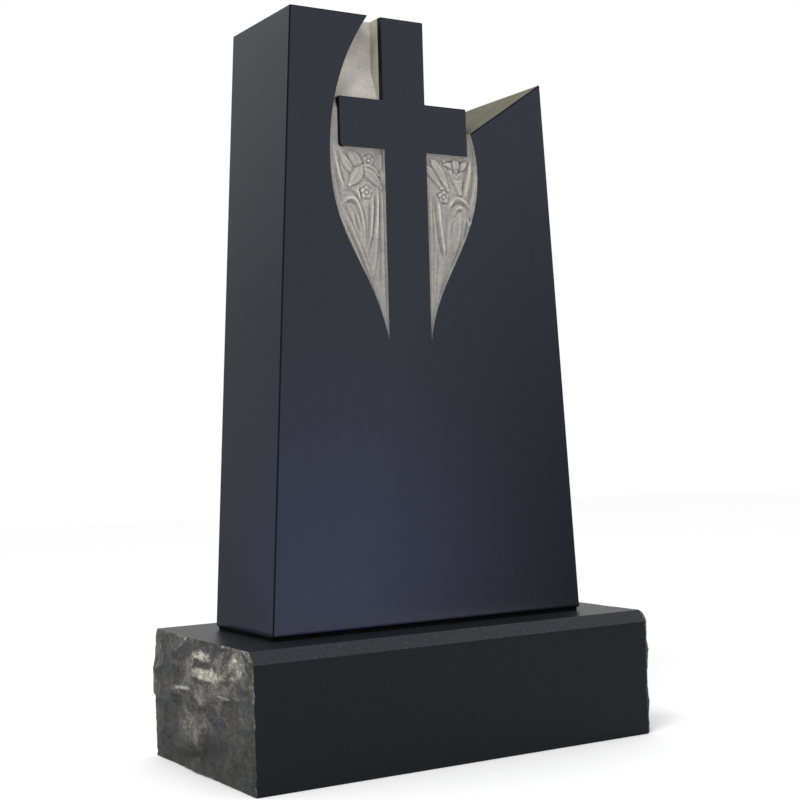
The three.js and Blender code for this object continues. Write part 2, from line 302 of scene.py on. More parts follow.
# painted shade: an olive copy of the dusted stone for the shaft's left-facing wall
wallShadeFinish = dustedGranite("dusted gabbro of the shaft's wall", (0.0, "#aba99c"), (1.0, "#98968a"))
sawnFinish = dustedGranite("sawn gabbro", (0.0, "#5a5a5c"), (1.0, "#48484a"))
rockFinish = rockGranite("rock-pitched gabbro")
compound = settingCompound()
print("materials made")


# base: depths run back from its middle and heights up from its underside

base = {
    "box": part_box("base"),
    "width": 719,  # between the arrises
    "washDepth": 14.8,
    "washHeight": 18.1,
    "columns": 240,
    "rows": 136,
    "washRows": 10,
    "reach": 20,  # furthest that an end stands out past its arrises
    "plainRock": 11,  # even height of the right end's rock
    "shelfJut": (8, 9, -4),  # how far the left end's shelf stands out, and what it gains and loses along it
    "belly": 6,  # rock under the shelf
    "boss": 10,
    "valleyDepth": 6,
    "crest": ((-140, -15, 30, 120), (162, 154, 135, 114)),  # courses across the left end: depths, heights
    "lip": ((-148, -93, -54, -20, 7, 54, 112), (143, 141, 129, 107, 128, 125, 106)),
    "valley": ((-98, -8, 32, 122), (56, 36, 26, 14)),
    "facet": 42,  # spacing of the facets
    "facetDepth": 12,
    "facetBowl": 0.45,  # shares of the facets' depth: their hollow, tilt and height
    "facetTilt": 1.1,
    "facetLift": 0.2,
    "facetStretch": 0.75,  # facets are drawn out along the depth
    "fineSize": 0.4,  # small facets on the large ones, as shares of them
    "fineDepth": 0.3,
    "wander": (8, 6),  # how far facets and courses stray along the depth and up
    "grit": 0.5,
    "arrisRise": 7,  # distance from an arris over which the rock comes up
    "arrisChips": 3.5,
    "cornerChip": 5,  # the back top corner is knocked off
    # pale spots of the left end, part bruise and part painted highlight on its up-facing ledges: strength,
    # depth, height, spread along the depth and up
    "paleSpots": (
        (1.4, -50, 158, 52, 9),
        (1.1, -14, 182, 34, 8),
        (0.5, -130, 176, 44, 20),
        (0.5, -8, 40, 30, 4),
        (0.5, -100, 131, 26, 6),
    ),
    # soft spots of the left end, in the same columns: painted light on the boss and one more spot, painted
    # shade in a hollow towards the back
    "softSpots": ((0.18, 12, 66, 52, 28), (0.2, -20, 121, 16, 9), (-0.2, 80, 146, 35, 12)),
}
base["depth"] = (base["box"][1].y - base["box"][0].y) / mm
base["height"] = base["box"][1].z / mm
baseFinishes = {
    "polish": basePolish,
    "rock": rockFinish,
    "sawn": sawnFinish,
    "honed": baseHoned,
    "wash": washFinish,
}


# shallow bowls left by the pitching tool, each with a tilt and a tone of its own, sharp where they meet
def facets(y, z, seed, size):
    def chance(a, b, turn):
        wave = np.sin(a * 127.1 + b * 311.7 + (seed + turn) * 74.7) * 43758.5453
        return wave - np.floor(wave)

    height, tone = np.full(y.shape, 9.0), np.zeros(y.shape)
    for a in (-1, 0, 1):
        for b in (-1, 0, 1):
            column, row = np.floor(y / size) + a, np.floor(z / size) + b
            overY = y / size - column - chance(column, row, 0)
            overZ = z / size - row - chance(column, row, 1)
            tilt = overY * (chance(column, row, 2) - 0.5) + overZ * (chance(column, row, 3) - 0.5)
            bowl = base["facetBowl"] * (overY**2 + overZ**2) + base["facetTilt"] * tilt
            bowl += base["facetLift"] * chance(column, row, 4)
            lower = bowl < height
            height = np.where(lower, bowl, height)
            tone = np.where(lower, chance(column, row, 5), tone)
    return height - base["facetLift"], tone


def courseAt(name, y):
    return np.interp(y, *base[name])


# left end: a shelf down to its ragged lip, a boss under it and a valley round the boss's foot
def shelvedRock(y, z):
    height, lip = base["height"], courseAt("lip", y)
    front, middle, back = base["shelfJut"]
    jut = front + middle * smooth(y, -150, -80) + back * smooth(y, 80, 170)
    shelf = jut * np.clip((height - z) / (height - courseAt("crest", y)), 0, 1) ** 0.9
    belly = base["belly"] + base["boss"] * hill(y - 14, z - 66, 46, 26)
    belly -= base["valleyDepth"] * hill(0, z - courseAt("valley", y), 1, 10) * smooth(y, -120, -70)
    return belly + (shelf - belly) * smooth(z, lip - 12, lip)


def plainRock(y, z):
    return base["plainRock"]


def grain(y, z, seed, size, octaves):
    return np.array(
        [
            noise.fractal(Vector((b * 0.55 / size, c / size, seed * 3.7)), 0.8, 2.1, octaves)
            for b, c in zip(y, z)
        ]
    )


# how far an end stands out past its arris at each point, and the tone of its facets
def rockHeight(y, z, front, form, seed):
    edge = np.minimum.reduce([y - front, base["depth"] / 2 - y, z, base["height"] - z])
    edge = np.maximum(edge, 0)
    bendY = y + base["wander"][0] * grain(y, z, seed + 21, 30, 3)
    bendZ = z + base["wander"][1] * grain(y, z, seed + 37, 30, 3)
    along = bendY * base["facetStretch"]
    large, tone = facets(along, bendZ, seed, base["facet"])
    small, speck = facets(along, bendZ, seed + 5, base["facet"] * base["fineSize"])
    rock = form(bendY, bendZ) + base["facetDepth"] * large + base["fineDepth"] * base["facetDepth"] * small
    rock += base["grit"] * grain(y, z, seed, 6, 3)
    rise = 1 - np.exp(-edge / base["arrisRise"])
    out = np.maximum(rock, 0.5) * rise
    chip = base["arrisChips"] * np.maximum(0, grain(y, z, seed + 11, 26, 3)) * np.exp(-edge / 3)
    fromCorner = base["depth"] / 2 - y + base["height"] - z
    chip += base["cornerChip"] * np.exp(-fromCorner / 12)
    return out * base["reach"] / out.max() - chip, 0.6 * tone + 0.4 * speck


def spotsAt(spots, y, z):
    return sum(strength * hill(y - deep, z - up, wide, high) for strength, deep, up, wide, high in spots)


# bruises and painted light and shade of the left end: ragged pale ones on its spots, lip and arrises, part
# bruise and part painted highlight; soft painted light on the boss; painted shade along the valley
def leftBruiseAndShade(y, z, front):
    pale = spotsAt(base["paleSpots"], y, z) + 0.9 * hill(y - 34, z - courseAt("lip", y) - 3, 40, 4)
    pale += 0.4 * np.exp(-(y - front) / 7) + 0.4 * np.exp(-(base["height"] - z) / 7)
    ragged = smooth(pale + 0.4 * grain(y, z, 9, 9, 3), 0.3, 0.9)
    # painted shade along the valley round the boss's foot
    dark = 0.25 * hill(y - 14, z - courseAt("valley", y), 90, 8)
    return 0.5 * ragged + spotsAt(base["softSpots"], y, z) - dark


def finishBase(piece, x):
    for face in piece.data.polygons:
        sides = {x[corner] > 0 for corner in face.vertices}
        if len(sides) == 1:
            face.material_index = numberOf(baseFinishes, "rock")
        elif face.normal.z < -0.9:
            face.material_index = numberOf(baseFinishes, "sawn")
        elif face.normal.z > 0.9:
            face.material_index = numberOf(baseFinishes, "honed")
        elif face.normal.z > 0.3:
            face.material_index = numberOf(baseFinishes, "wash")


def makeBase():
    columns, rows, washRows = base["columns"], base["rows"], base["washRows"]
    piece = addSlabGrid("base_stone", columns, rows)
    start = pointsOf(piece)
    level = np.rint((start[:, 1] + 0.5) * rows)
    below = rows - washRows
    foot = base["height"] - base["washHeight"]
    z = np.where(level <= below, foot * level / below, foot + base["washHeight"] * (level - below) / washRows)
    front = -base["depth"] / 2 + base["washDepth"] * np.clip((z - foot) / base["washHeight"], 0, 1)
    y = front + (start[:, 0] + 0.5) * (base["depth"] / 2 - front)
    right = start[:, 2] > 0.5
    left, leftTone = rockHeight(y, z, front, shelvedRock, 3)
    plain, plainTone = rockHeight(y, z, front, plainRock, 8)
    x = np.where(right, base["width"] / 2 + plain, -base["width"] / 2 - left)
    movePoints(piece, np.stack([x, y, z], 1) * mm)
    faceOutward(piece)
    giveFinishes(piece, *baseFinishes.values())
    finishBase(piece, x)
    bruiseAndShade = 0.14 + 0.32 * np.where(right, plainTone, leftTone)
    bruiseAndShade *= 0.7 + 0.3 * smooth(z, 60, 135)  # painted shade, darker towards the foot
    addAttribute(piece, "bruiseAndShade", np.clip(bruiseAndShade + leftBruiseAndShade(y, z, front) * ~right, 0, 1))
    shadeSoft(piece, numberOf(baseFinishes, "rock"))
    return piece


baseStone = makeBase()
print("base made")


# setting bed

bed = {"box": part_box("setting_bed"), "round": 1.5}


def makeBed():
    low, high = bed["box"]
    startClean()
    bpy.ops.mesh.primitive_cube_add(size=1, location=(low + high) / 2, scale=high - low)
    bpy.ops.object.transform_apply(location=True, rotation=True, scale=True)
    piece = bpy.context.object
    piece.name = "setting_bed_compound"
    bpy.ops.object.mode_set(mode="EDIT")
    bpy.ops.mesh.select_all(action="SELECT")
    bpy.ops.mesh.bevel(offset=bed["round"] * mm, segments=2, affect="EDGES")
    bpy.ops.object.mode_set(mode="OBJECT")
    giveFinishes(piece, compound)
    return piece


bedPiece = makeBed()
print("setting bed made")


# tablet: heights are over its foot and widths from the cross's axis

tablet = {
    "box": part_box("tablet"),
    "footWidth": 575,
    "topWidth": 464,
    "crossAxis": -32.5,
    "barWidth": 78,
    "armSpan": 235.4,
    "armFoot": 745.3,
    "armCorner": 8,
    "shoulderPeak": 879,
    "shoulderSlope": 0.664,
    "shoulderTwist": 38,  # the cut comes down by this much less at the back
    "arris": 2.0,
    "floorDepth": 12,
    "tipDepth": 5,
    "runOut": 120,
    "leastDepth": 2,
    "pillow": 4.2,  # soft height of the carving over its ground
    "strokeGain": 0.75,  # softens the strokes
    "chatter": 0.3,  # unevenness left by the tool
    "plainMargin": (2, 9),  # under the arms the carving starts and is full at these distances
    "columns": 100,
    "rows": 300,
    "pocketDepth": 35,
    "darkBand": 11,  # depth to which the cross's walls stay dark in the pocket
    "setBack": 0.4,
    "rampFoot": 60,  # start of the ramp over the arm's foot
    "rampHeight": 70,
    "pocketReach": 250,  # wider than the pocket
    "stripHeight": 45,
    "lap": 2,
    "evenTone": 0.45,  # painted-shade tones: level carving, gain for each mm of depth, plain margin
    "toneGain": 0.3,
    "marginTone": 0.3,
    "pocketTones": (0.5, 0.12, 0.0, 0.1),  # painted light and shade in the pocket, lightest where it is deepest: at the arm's foot, either end of the ramp and the top
}
tablet["height"] = (tablet["box"][1].z - tablet["box"][0].z) / mm
tablet["thickness"] = (tablet["box"][1].y - tablet["box"][0].y) / mm
tablet["front"] = tablet["box"][0].y / mm
tablet["foot"] = tablet["box"][0].z / mm
tablet["armTop"] = tablet["armFoot"] + tablet["barWidth"]
tablet["plainDepth"] = tablet["floorDepth"] - tablet["pillow"]
tabletFinishes = {
    "polish": tabletPolish,
    "carving": carvedFinish,
    "shoulder": shoulderShadeFinish,
    "sawn": sawnFinish,
    "arris": arrisFinish,
    "wall": wallShadeFinish,
}
petalForm = {
    "tip": 0.14,  # least width at the ends, as a share
    "lean": 0.85,  # shifts the widest place
    "fullness": 0.6,
    "dome": 0.75,
    "throat": 0.3,  # width of a tube's foot, as a share
    "flare": 1.3,
    "ribWidth": 1.6,
    "rim": 0.75,  # share of the width at which the rim turns down
    "rimDrop": 1.2,
    "moatGap": 0.6,  # groove round a petal
    "moatWidth": 2.0,
}
leftPanel = {"side": -1, "reach": 136.5, "widest": 733, "tip": 449, "crown": 373, "pull": (31, 126, 139)}
rightPanel = {"side": 1, "reach": 136.5, "widest": 717, "tip": 447, "crown": 185, "pull": (14, 102, 113)}


def bent(start, via, end, count=14):
    share = np.linspace(0, 1, count)[:, None]
    start, via, end = (np.array(p, float) for p in (start, via, end))
    return (1 - share) ** 2 * start + 2 * (1 - share) * share * via + share**2 * end


# one stroke of the carving along a bent line: a ridge or a groove with soft sides
def stroke(start, via, end, width, rise):
    return {"line": bent(start, via, end), "width": width, "rise": rise}


# a petal lies over what was carved before it; rib is a groove along its middle
def petal(start, via, end, width, rise, rib=1.0):
    return {"line": bent(start, via, end), "width": width, "rise": rise, "rib": rib, "shape": "petal"}


# a flower's tube widens from its foot to its mouth
def tube(start, via, end, width, rise):
    return {"line": bent(start, via, end), "width": width, "rise": rise, "rib": 0, "shape": "tube"}


def bead(centre, radius, rise):
    line = np.array([centre, (centre[0] + 0.5, centre[1])], float)
    return {"line": line, "width": radius, "rise": rise, "rib": 0, "shape": "bead"}


# a small round flower of five beads about a sixth
def rosette(centre, radius, rise):
    turns = 0.3 + np.arange(5) * 2 * math.pi / 5
    around = [(centre[0] + 0.6 * radius * np.cos(t), centre[1] + 0.6 * radius * np.sin(t)) for t in turns]
    return [bead(spot, 0.5 * radius, rise) for spot in around] + [bead(centre, 0.3 * radius, rise + 0.5)]


# a groove round a flower's mouth
def ring(centre, radius, width, rise):
    turn = np.linspace(0, 2 * math.pi, 20)
    line = np.stack([centre[0] + radius * np.cos(turn), centre[1] + radius * np.sin(turn)], 1)
    return {"line": line, "width": width, "rise": rise, "closed": True}


leftPanel["ridges"] = [
    stroke((-127, 752), (-122, 712), (-108, 677), 3, 3),
    stroke((-114, 657), (-78, 693), (-73, 600), 3.2, 3.6),  # arched leaf
    stroke((-120, 642), (-84, 580), (-39, 450), 3, 3.6),  # long blades down to the tip
    stroke((-104, 636), (-74, 580), (-42, 474), 3, 3),
    stroke((-49, 696), (-49, 610), (-61, 546), 3, 3.2),
    stroke((-96, 646), (-94, 632), (-88, 610), 2.6, 2.2),
    stroke((-84, 642), (-82, 625), (-79, 608), 2.6, 2),
    stroke((-59, 676), (-58, 640), (-64, 598), 3, 2.2),
    stroke((-41, 694), (-41, 600), (-42, 495), 3, 2),
    stroke((-86, 680), (-82, 674), (-81, 664), 2.6, 2.4),
    stroke((-43, 742), (-42, 730), (-42, 716), 3.2, 2.4),
    stroke((-116, 748), (-112, 738), (-110, 728), 3, 2),
]
leftPanel["grooves"] = [
    stroke((-117, 728), (-116, 708), (-107, 690), 2.5, 3),
    stroke((-44, 714), (-43, 704), (-42, 694), 2.5, 2.5),
    stroke((-107, 660), (-84, 670), (-78, 622), 3, 3.2),
    stroke((-110, 677), (-75, 690), (-69, 598), 3, 3),
    stroke((-80, 684), (-79, 672), (-76, 660), 2.5, 3),
    stroke((-63, 660), (-63, 636), (-68, 592), 2.6, 3),
    stroke((-53, 674), (-53, 630), (-67, 578), 2.5, 3.6),
    stroke((-45, 674), (-44, 610), (-46, 530), 2.6, 2.6),
    stroke((-110, 630), (-77, 576), (-40, 464), 2.7, 4.2),
    stroke((-97, 628), (-73, 586), (-48, 504), 3, 3.2),
    stroke((-107, 654), (-102, 641), (-94, 626), 2, 3),
    stroke((-91, 648), (-88, 632), (-82, 614), 2.1, 2.6),
    stroke((-124, 718), (-121, 690), (-112, 656), 2.5, 2.6),
    stroke((-60, 560), (-55, 520), (-47, 486), 2.5, 2.2),
]
leftPanel["petals"] = [
    *rosette((-69, 677), 9.5, 1.3),
    *rosette((-64, 727), 9.5, 1.3),
    petal((-84, 706), (-102, 714), (-114, 738), 8, 2.4),
    petal((-77, 716), (-60, 718), (-46, 705), 7, 2.2),
    petal((-79, 711), (-87, 730), (-103, 747), 10, 2.8),
    petal((-77, 712), (-58, 708), (-42, 684), 9, 2.9),
    petal((-77, 717), (-84, 703), (-99, 687), 11, 3.2),
]
leftPanel["rings"] = []

rightPanel["ridges"] = [
    stroke((127, 750), (128, 706), (111, 674), 4.2, 3.2),
    stroke((85, 658), (96, 694), (123, 666), 2.9, 3.4),  # two arched leaves
    stroke((90, 638), (108, 694), (127, 620), 2.9, 3.8),
    stroke((65, 674), (66, 635), (76, 578), 2.7, 3.2),
    stroke((50, 694), (50, 600), (45, 475), 3.2, 2.2),  # long blades down to the tip
    stroke((57, 624), (57, 580), (53, 500), 3, 1.8),
    stroke((126, 630), (96, 575), (45, 460), 3.2, 2.2),
    stroke((82, 604), (66, 550), (50, 488), 4.5, 1.6),
    stroke((105, 650), (108, 635), (101, 606), 3.2, 2.2),
    stroke((113, 648), (118, 630), (108, 602), 3.4, 2.2),
    stroke((137, 740), (138, 705), (127, 650), 3.2, 2.2),
]
rightPanel["grooves"] = [
    stroke((122, 742), (123, 710), (106, 687), 2.6, 3.6),
    stroke((135, 726), (135, 700), (123, 670), 2.6, 3),
    stroke((62, 683), (71, 676), (80, 668), 2.5, 3.5),
    stroke((87, 660), (106, 682), (125, 658), 2.5, 3.2),
    stroke((90, 640), (107, 678), (122, 640), 3, 3.2),
    stroke((59, 678), (59, 635), (72, 576), 2.5, 3.9),
    stroke((80, 646), (80, 610), (76, 576), 3, 2.6),
    stroke((92, 642), (90, 625), (87, 608), 2.5, 2.2),
    stroke((54, 684), (53, 640), (57, 570), 2.5, 2.2),
    stroke((119, 642), (116, 625), (108, 598), 2.5, 2.2),
    stroke((113, 616), (90, 570), (50, 474), 2.6, 2.2),
    stroke((63, 590), (58, 540), (51, 492), 2.6, 1.8),
]
rightPanel["petals"] = [
    petal((48, 746), (58, 744), (66, 729), 6, 2.6),
    petal((68, 748), (76, 744), (80, 732), 5, 2.6),
    petal((40, 726), (54, 718), (71, 692), 7.5, 2.8),
    petal((52, 738), (68, 724), (84, 690), 8.5, 3.2),
    tube((107, 686), (103, 704), (100, 722), 16, 3.4),
    petal((96, 722), (90, 734), (78, 731), 5.5, 3.6),
    petal((105, 722), (113, 732), (121, 739), 6, 3.4),
    petal((100, 718), (98, 734), (99, 748), 8, 4.0),
    *rosette((75, 678), 9.5, 1.3),
]
rightPanel["rings"] = [ring((101, 716), 8, 2.2, 1.6)]


# distance from a bent line and the share along it
def near(line, across, up):
    best = np.full(across.shape, 1e9)
    along = np.zeros(across.shape)
    for step in range(len(line) - 1):
        span = line[step + 1] - line[step]
        gapX, gapZ = across - line[step][0], up - line[step][1]
        share = np.clip((gapX * span[0] + gapZ * span[1]) / (span @ span), 0, 1)
        away = np.hypot(gapX - share * span[0], gapZ - share * span[1])
        closer = away < best
        best = np.where(closer, away, best)
        along = np.where(closer, (step + share) / (len(line) - 1), along)
    return best, along


# the points that a form can reach
def reached(form, across, up):
    far = form["width"] * 3 + 4
    low, high = form["line"].min(0) - far, form["line"].max(0) + far
    return (across > low[0]) & (across < high[0]) & (up > low[1]) & (up < high[1])


# the highest of many strokes at each point; open ones fade towards their ends
def strongest(forms, across, up):
    total = np.zeros(across.shape)
    for form in forms:
        spots = reached(form, across, up)
        away, along = near(form["line"], across[spots], up[spots])
        ends = 1.0 if form.get("closed") else np.minimum(1, np.minimum(along, 1 - along) * 5 + 0.3)
        total[spots] = np.maximum(total[spots], form["rise"] * ends * np.exp(-((away / form["width"]) ** 2)))
    return total


def addPetal(rise, form, across, up):
    spots = reached(form, across, up)
    away, along = near(form["line"], across[spots], up[spots])
    taper = np.ones(away.shape)
    if form["shape"] == "petal":
        bow = np.sin(math.pi * along ** petalForm["lean"])
        taper = np.maximum(petalForm["tip"], bow) ** petalForm["fullness"]
    elif form["shape"] == "tube":
        taper = petalForm["throat"] + (1 - petalForm["throat"]) * along ** petalForm["flare"]
    width, rim = form["width"] * taper, petalForm["rim"]
    share = away / width
    moat = np.exp(-(((away - width - petalForm["moatGap"]) / petalForm["moatWidth"]) ** 2))
    dome = np.maximum(0, 1 - share**2) ** petalForm["dome"]
    body = tablet["pillow"] + form["rise"] * dome * (0.25 + 0.75 * taper)
    body -= form["rib"] * np.exp(-((away / petalForm["ribWidth"]) ** 2)) * np.sin(math.pi * along)
    body -= petalForm["rimDrop"] * np.clip((share - rim) / (1 - rim), 0, 1) ** 2
    rise[spots] = np.where(share < 1, body, rise[spots] - moat)


def marginAt(up):
    return smooth(tablet["armFoot"] - up, *tablet["plainMargin"])


# height of the carving over its ground: a soft pillow, blades and arches on it, flowers over them
def carvedRise(panel, across, up):
    ridges, grooves = (strongest(panel[forms], across, up) for forms in ("ridges", "grooves"))
    rise = tablet["pillow"] + tablet["strokeGain"] * (ridges - grooves)
    for form in panel["petals"]:
        addPetal(rise, form, across, up)
    rise -= strongest(panel["rings"], across, up)
    chatter = tablet["chatter"] * grain(across.ravel(), up.ravel(), 5, 5, 2).reshape(across.shape)
    return tablet["pillow"] + (rise - tablet["pillow"]) * marginAt(up) + chatter


# the panel's outer edge: from the tip a bent line out to the widest place, then an arc
def panelEdge(panel, up):
    shaft = tablet["barWidth"] / 2
    share = np.linspace(0, 1, 400)
    tipIn, tipUp, belly = panel["pull"]
    weights = [(1 - share) ** 3, 3 * (1 - share) ** 2 * share, 3 * (1 - share) * share**2, share**3]
    overs = (shaft + 1, shaft + tipIn, panel["reach"], panel["reach"])
    heights = (panel["tip"], panel["tip"] + tipUp, panel["widest"] - belly, panel["widest"])
    curveUp = sum(w * h for w, h in zip(weights, heights))
    curveOver = sum(w * o for w, o in zip(weights, overs))
    arc = np.sqrt(np.maximum(0, panel["crown"] ** 2 - (up - panel["widest"]) ** 2))
    arc += panel["reach"] - panel["crown"]
    return np.where(up > panel["widest"], arc, np.interp(up, curveUp, curveOver))


def placed(across, depth, up):
    columns = (across + tablet["crossAxis"], depth + tablet["front"], up + tablet["foot"])
    return np.stack(np.broadcast_arrays(*columns), -1) * mm


def panelDepth(panel, across, up):
    floor, tip = tablet["floorDepth"], tablet["tipDepth"]
    ground = tip + (floor - tip) * smooth(up, panel["tip"], panel["tip"] + tablet["runOut"])
    return np.maximum(tablet["leastDepth"], ground - carvedRise(panel, across, up) * ground / floor)


# painted shade: darker where the surface lies deeper than round about, painted highlight where it stands
# higher
def hollowShadeOf(deep, passes=5):
    soft = deep
    for _ in range(passes):
        padded = np.pad(soft, 2, mode="edge")
        soft = (padded[:-4, 2:-2] + padded[4:, 2:-2] + padded[2:-2, :-4] + padded[2:-2, 4:]) / 4
    return np.clip(tablet["evenTone"] + (deep - soft) * tablet["toneGain"], 0, 1)


# the body cut out of the face to leave one carved panel
def panelCutter(panel):
    columns, rows = tablet["columns"], tablet["rows"]
    piece = addSlabGrid("panel cutter", columns, rows)
    start = pointsOf(piece)
    column = np.rint((start[:, 0] + 0.5) * columns).astype(int)
    row = np.rint((start[:, 1] + 0.5) * rows).astype(int)
    shaft = tablet["barWidth"] / 2
    up = np.linspace(panel["tip"], tablet["armFoot"], rows + 1)[:, None]
    out = np.linspace(0, 1, columns + 1)[None, :]
    across = panel["side"] * (shaft + out * (panelEdge(panel, up) - shaft))
    up = np.broadcast_to(up, across.shape)
    deep, margin = panelDepth(panel, across, up), marginAt(up)
    panel["hollowShade"] = hollowShadeOf(deep) * margin + tablet["marginTone"] * (1 - margin)
    depth = np.where(start[:, 2] > 0.5, -tablet["lap"], deep[row, column])
    movePoints(piece, placed(across[row, column], depth, up[row, column]))
    faceOutward(piece)
    return piece


def edgePoints(panel, low, high, count=40):
    up = np.linspace(low, high, count)
    return list(zip(panel["side"] * panelEdge(panel, up), up))


# outline of the plain pocket above the left arm; setBack draws it away from the cross
def pocketOutline(setBack):
    armFoot, lap, corner = tablet["armFoot"], tablet["lap"], tablet["armCorner"]
    over = tablet["height"] + lap
    shaft, arm = tablet["barWidth"] / 2 + setBack, tablet["armSpan"] / 2 + setBack
    armTop = tablet["armTop"] + setBack
    outline = edgePoints(leftPanel, armFoot - lap, over)
    outline += [(-shaft, over), (-shaft, armTop), (-arm, armTop)]
    outline += [tuple(p) for p in bent((-arm, armFoot + corner), (-arm, armFoot), (corner - arm, armFoot), 8)]
    return np.array(outline + [(corner - arm, armFoot - lap)]).T


# a cut for the pocket: level with the panels beside the arm, then ramped down deeper
def pocketCutter(depth, setBack, short):
    lap, reach = tablet["lap"], tablet["pocketReach"]
    across, up = pocketOutline(setBack)
    piece = addPrism("pocket", placed(across, -lap, up), (0, (depth + lap) * mm, 0))
    plain, deep = tablet["plainDepth"] - short, tablet["pocketDepth"] - short
    low, over = tablet["armFoot"] - 2 * lap, tablet["height"] + 2 * lap
    rampStart = tablet["armFoot"] + tablet["rampFoot"]
    profile = [(-2 * lap, low), (plain, low), (plain, rampStart), (deep, rampStart + tablet["rampHeight"])]
    depths, heights = np.array(profile + [(deep, over), (-2 * lap, over)]).T
    limit = addPrism("pocket floor", placed(-reach, depths, heights), (reach * mm, 0, 0))
    combine(piece, limit, "INTERSECT")
    return piece


# plain ground between the right arm's end and the edge of the right panel
def stripCutter():
    lap, top = tablet["lap"], tablet["armFoot"] + tablet["stripHeight"]
    outline = edgePoints(rightPanel, tablet["armFoot"] - lap, top)
    outline += [(tablet["armSpan"] / 2, top), (tablet["armSpan"] / 2, tablet["armFoot"] - lap)]
    across, up = np.array(outline).T
    return addPrism("strip cutter", placed(across, -lap, up), (0, (tablet["plainDepth"] + lap) * mm, 0))


# the slab with tapering sides and the cut shoulder, its arrises eased
def makeSlab():
    half, top = tablet["footWidth"] / 2, tablet["topWidth"] / 2
    taper = (half - top) / tablet["height"]
    peak = half - taper * tablet["shoulderPeak"]
    armEnd = tablet["crossAxis"] + tablet["armSpan"] / 2
    shaft = tablet["crossAxis"] + tablet["barWidth"] / 2
    low = tablet["shoulderPeak"] - tablet["shoulderSlope"] * (peak - armEnd)
    shoulderFoot = (armEnd, low)
    outline = [(-half, 0), (half, 0), (peak, tablet["shoulderPeak"]), shoulderFoot]
    outline += [(armEnd, tablet["armTop"]), (shaft, tablet["armTop"])]
    outline += [(shaft, tablet["height"]), (-top, tablet["height"])]
    across, up = np.array(outline).T
    points = placed(across - tablet["crossAxis"], 0, up)
    toBack = (0, tablet["thickness"] * mm, 0)
    piece = addPrism("tablet_stone", points, toBack)
    corners = pointsOf(piece)
    backFoot = points[outline.index(shoulderFoot)] + np.array(toBack)
    corners[np.linalg.norm(corners - backFoot, axis=1) < mm, 2] += tablet["shoulderTwist"] * mm
    movePoints(piece, corners)
    giveFinishes(piece, *tabletFinishes.values())
    arris = numberOf(tabletFinishes, "arris")
    bpy.ops.object.mode_set(mode="EDIT")
    bpy.ops.mesh.select_all(action="SELECT")
    bpy.ops.mesh.bevel(offset=tablet["arris"] * mm, segments=2, affect="EDGES", material=arris)
    bpy.ops.object.mode_set(mode="OBJECT")
    return piece


# left of the shaft and over the arm's foot
def besideShaft(spot):
    shaft = tablet["crossAxis"] - tablet["barWidth"] / 2
    return spot.x < (shaft + 1) * mm and spot.z > (tablet["foot"] + tablet["armFoot"]) * mm


def finishTablet(piece):
    slope = Vector((-tablet["shoulderSlope"], 0, 1)).normalized()
    foot = tablet["box"][0].z + mm
    polish, carving = numberOf(tabletFinishes, "polish"), numberOf(tabletFinishes, "carving")
    for face in piece.data.polygons:
        number, normal = face.material_index, face.normal
        # the shoulder's slope takes the dusted stone's painted-shade copy
        if number == polish and normal.dot(slope) > 0.95:
            face.material_index = numberOf(tabletFinishes, "shoulder")
        elif number == polish and normal.z < -0.9 and face.center.z < foot:
            face.material_index = numberOf(tabletFinishes, "sawn")
        # the shaft's left-facing wall takes the dusted stone's painted-shade copy
        elif number == carving and normal.x < -0.9 and besideShaft(face.center):
            face.material_index = numberOf(tabletFinishes, "wall")


# painted-shade tones: each vertex of a carved panel takes the value of the nearest point of the panel's grid;
# the pocket takes painted light and shade by height
def hollowShadeAt(piece):
    points = pointsOf(piece) / mm
    across = points[:, 0] - tablet["crossAxis"]
    up = points[:, 2] - tablet["foot"]
    depth = points[:, 1] - tablet["front"]
    rampStart = tablet["armFoot"] + tablet["rampFoot"]
    places = (tablet["armFoot"], rampStart, rampStart + tablet["rampHeight"], tablet["height"])
    inPocket = (up > places[0] - 3) & (depth < tablet["pocketDepth"] + 1)
    values = np.interp(up, places, tablet["pocketTones"]) * inPocket
    shaft = tablet["barWidth"] / 2
    for panel in (leftPanel, rightPanel):
        over = across * panel["side"]
        wide = np.maximum(panelEdge(panel, up) - shaft, 0.1)
        inside = (over > shaft - 0.5) & (over < shaft + wide + 0.5) & (depth < tablet["floorDepth"] + 4)
        inside &= (up > panel["tip"] - 1) & (up < tablet["armFoot"] + 1)
        row = (up[inside] - panel["tip"]) / (tablet["armFoot"] - panel["tip"]) * tablet["rows"]
        column = (over[inside] - shaft) / wide[inside] * tablet["columns"]
        row = np.clip(np.rint(row), 0, tablet["rows"]).astype(int)
        column = np.clip(np.rint(column), 0, tablet["columns"]).astype(int)
        values[inside] = panel["hollowShade"][row, column]
    return values


def makeTablet():
    piece = makeSlab()
    setBack, carving = tablet["setBack"], numberOf(tabletFinishes, "carving")
    darkCut = pocketCutter(tablet["darkBand"], 0, setBack)  # leaves the cross's walls dark near the face
    dustedCut = pocketCutter(tablet["pocketDepth"] + tablet["lap"], setBack, 0)
    cuts = [(darkCut, numberOf(tabletFinishes, "arris")), (dustedCut, carving), (stripCutter(), carving)]
    cuts += [(panelCutter(panel), carving) for panel in (leftPanel, rightPanel)]
    for cutter, finish in cuts:
        giveFinishes(cutter, *tabletFinishes.values())
        setFinish(cutter, finish)
        combine(piece, cutter, "DIFFERENCE")
    finishTablet(piece)
    addAttribute(piece, "hollowShade", hollowShadeAt(piece))
    shadeSoft(piece, carving)
    return piece


tabletStone = makeTablet()
print("tablet made:", len(tabletStone.data.polygons), "faces")

for piece, node, slot in (
    (baseStone, "base", "base_granite"),
    (bedPiece, "setting_bed", "setting_compound"),
    (tabletStone, "tablet", "tablet_granite"),
):
    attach(piece, "root")
    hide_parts(node)
print("pieces placed")


# studio: pale floor, soft light, camera at the photo's angle

